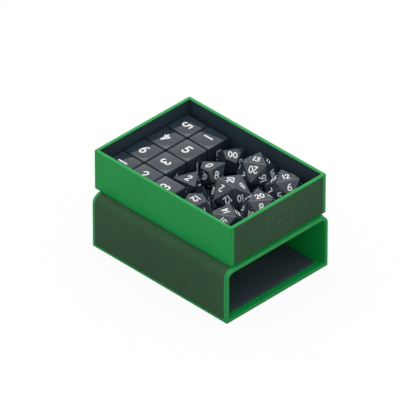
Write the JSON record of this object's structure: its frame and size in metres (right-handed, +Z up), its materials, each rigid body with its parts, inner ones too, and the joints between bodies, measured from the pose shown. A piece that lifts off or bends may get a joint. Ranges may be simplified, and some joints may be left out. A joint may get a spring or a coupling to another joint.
{
  "type": "dice storage chest",
  "caption": "Open-ended card sleeve in green and olive, with its open tray of dark dice standing on the roof.",
  "frame": {"origin": "the middle of the sleeve's underside, on the surface that it stands on", "axes": "+X along the sleeve, out of the mouth that the picture shows; +Y to the right, seen from in front of that mouth; +Z up"},
  "size_m": [0.1016, 0.0747, 0.0564],
  "materials": {
    "green_skin": "satin",
    "olive_skin": "matte",
    "dark_lining": "matte",
    "greyboard": "matte",
    "die_plastic": "gloss"
  },
  "bodies": {
    "sleeve": {"sleeve_base_cover": "green_skin", "sleeve_base_board": "greyboard", "sleeve_shell_board": "greyboard", "sleeve_outer_cover": "green_skin", "sleeve_inner_lining": "green_skin", "sleeve_olive_wrap": "olive_skin", "sleeve_floor_mat": "dark_lining"},
    "tray": {"tray_bottom_cover": "green_skin", "tray_floor_board": "greyboard", "tray_front_board": "greyboard", "tray_back_board": "greyboard", "tray_left_board": "greyboard", "tray_right_board": "greyboard", "tray_wall_cover": "green_skin", "tray_wall_lining": "dark_lining", "tray_floor_lining": "dark_lining", "tray_front_panel": "olive_skin", "four_sided_die": "die_plastic"},
    "six_sided_die_1_loose": {"six_sided_die_1": "die_plastic"},
    "six_sided_die_2_loose": {"six_sided_die_2": "die_plastic"},
    "six_sided_die_3_loose": {"six_sided_die_3": "die_plastic"},
    "six_sided_die_4_loose": {"six_sided_die_4": "die_plastic"},
    "six_sided_die_5_loose": {"six_sided_die_5": "die_plastic"},
    "six_sided_die_6_loose": {"six_sided_die_6": "die_plastic"},
    "six_sided_die_7_loose": {"six_sided_die_7": "die_plastic"},
    "six_sided_die_8_loose": {"six_sided_die_8": "die_plastic"},
    "six_sided_die_9_loose": {"six_sided_die_9": "die_plastic"},
    "twenty_sided_die_1_loose": {"twenty_sided_die_1": "die_plastic"},
    "twenty_sided_die_2_loose": {"twenty_sided_die_2": "die_plastic"},
    "twenty_sided_die_3_loose": {"twenty_sided_die_3": "die_plastic"},
    "twenty_sided_die_4_loose": {"twenty_sided_die_4": "die_plastic"},
    "twenty_sided_die_5_loose": {"twenty_sided_die_5": "die_plastic"},
    "twelve_sided_die_loose": {"twelve_sided_die": "die_plastic"},
    "ten_sided_die_1_loose": {"ten_sided_die_1": "die_plastic"},
    "ten_sided_die_2_loose": {"ten_sided_die_2": "die_plastic"},
    "eight_sided_die_loose": {"eight_sided_die": "die_plastic"}
  },
  "joints": [
    {"name": "tray_lift", "type": "slide", "parent": "sleeve", "child": "tray", "axis": [0, 0, 1], "range_m": [0, 0.045]},
    {"name": "six_sided_die_1_lift", "type": "slide", "parent": "tray", "child": "six_sided_die_1_loose", "axis": [0, 0, 1], "range_m": [0, 0.03]},
    {"name": "six_sided_die_2_lift", "type": "slide", "parent": "tray", "child": "six_sided_die_2_loose", "axis": [0, 0, 1], "range_m": [0, 0.03]},
    {"name": "six_sided_die_3_lift", "type": "slide", "parent": "tray", "child": "six_sided_die_3_loose", "axis": [0, 0, 1], "range_m": [0, 0.03]},
    {"name": "six_sided_die_4_lift", "type": "slide", "parent": "tray", "child": "six_sided_die_4_loose", "axis": [0, 0, 1], "range_m": [0, 0.03]},
    {"name": "six_sided_die_5_lift", "type": "slide", "parent": "tray", "child": "six_sided_die_5_loose", "axis": [0, 0, 1], "range_m": [0, 0.03]},
    {"name": "six_sided_die_6_lift", "type": "slide", "parent": "tray", "child": "six_sided_die_6_loose", "axis": [0, 0, 1], "range_m": [0, 0.03]},
    {"name": "six_sided_die_7_lift", "type": "slide", "parent": "tray", "child": "six_sided_die_7_loose", "axis": [0, 0, 1], "range_m": [0, 0.03]},
    {"name": "six_sided_die_8_lift", "type": "slide", "parent": "tray", "child": "six_sided_die_8_loose", "axis": [0, 0, 1], "range_m": [0, 0.03]},
    {"name": "six_sided_die_9_lift", "type": "slide", "parent": "tray", "child": "six_sided_die_9_loose", "axis": [0, 0, 1], "range_m": [0, 0.03]},
    {"name": "twenty_sided_die_1_lift", "type": "slide", "parent": "tray", "child": "twenty_sided_die_1_loose", "axis": [0, 0, 1], "range_m": [0, 0.03]},
    {"name": "twenty_sided_die_2_lift", "type": "slide", "parent": "tray", "child": "twenty_sided_die_2_loose", "axis": [0, 0, 1], "range_m": [0, 0.03]},
    {"name": "twenty_sided_die_3_lift", "type": "slide", "parent": "tray", "child": "twenty_sided_die_3_loose", "axis": [0, 0, 1], "range_m": [0, 0.03]},
    {"name": "twenty_sided_die_4_lift", "type": "slide", "parent": "tray", "child": "twenty_sided_die_4_loose", "axis": [0, 0, 1], "range_m": [0, 0.03]},
    {"name": "twenty_sided_die_5_lift", "type": "slide", "parent": "tray", "child": "twenty_sided_die_5_loose", "axis": [0, 0, 1], "range_m": [0, 0.03]},
    {"name": "twelve_sided_die_lift", "type": "slide", "parent": "tray", "child": "twelve_sided_die_loose", "axis": [0, 0, 1], "range_m": [0, 0.03]},
    {"name": "ten_sided_die_1_lift", "type": "slide", "parent": "tray", "child": "ten_sided_die_1_loose", "axis": [0, 0, 1], "range_m": [0, 0.03]},
    {"name": "ten_sided_die_2_lift", "type": "slide", "parent": "tray", "child": "ten_sided_die_2_loose", "axis": [0, 0, 1], "range_m": [0, 0.03]},
    {"name": "eight_sided_die_lift", "type": "slide", "parent": "tray", "child": "eight_sided_die_loose", "axis": [0, 0, 1], "range_m": [0, 0.03]}
  ]
}
